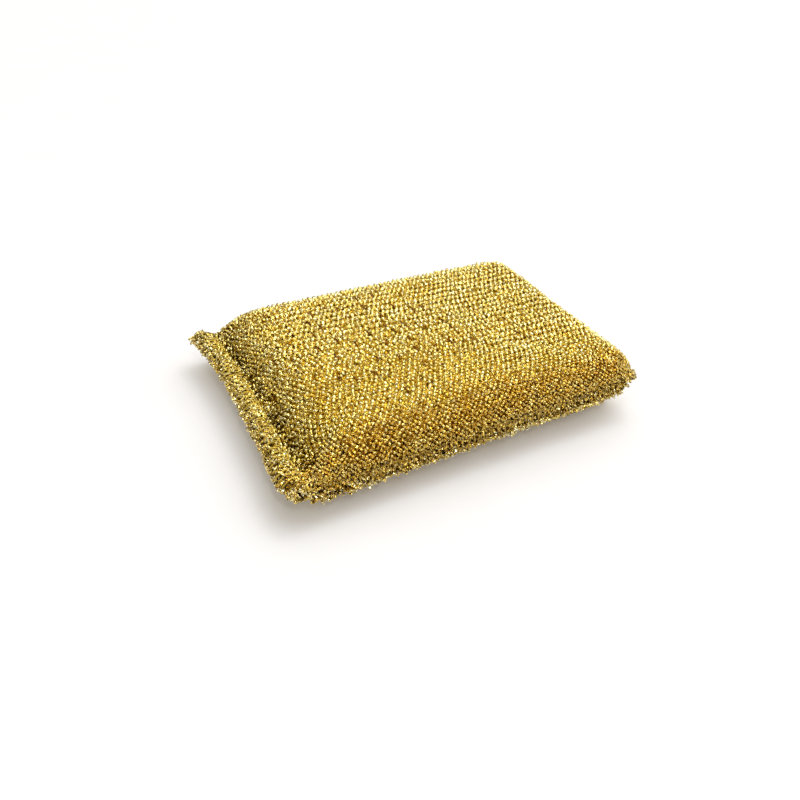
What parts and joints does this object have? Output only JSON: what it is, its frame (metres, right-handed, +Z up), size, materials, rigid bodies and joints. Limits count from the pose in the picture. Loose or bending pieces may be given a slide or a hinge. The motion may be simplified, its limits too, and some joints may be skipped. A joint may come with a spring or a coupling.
{
  "type": "kitchen sponge",
  "caption": "Rectangular scouring sponge: a soft foam slab sewn into a gold metallised knit cover, with a wide flange and pointed ears at one end.",
  "frame": {"origin": "centre of the footprint of the whole sponge, on the surface that it rests on", "axes": "+X along the length, away from the end with the wide closing seam and the ears; +Z up, through the thickness; -Y is the long side that faces the viewer"},
  "size_m": [0.115, 0.08, 0.021],
  "materials": {
    "foam": "matte",
    "knit": "gloss",
    "thread": "satin"
  },
  "bodies": {
    "pad": {"foam_core": "foam", "bottom_cover": "knit", "closing_needle_thread": "thread", "closing_upper_looper": "thread", "closing_lower_looper": "thread", "side_needle_thread": "thread", "side_upper_looper": "thread", "side_lower_looper": "thread"},
    "upper_panel": {"top_cover": "knit"}
  },
  "joints": [
    {"name": "squeeze", "type": "slide", "parent": "pad", "child": "upper_panel", "axis": [0, 0, -1], "range_m": [0, 0.008], "stiffness_N_per_m": 3000, "deforming": ["foam_core", "top_cover"]}
  ]
}
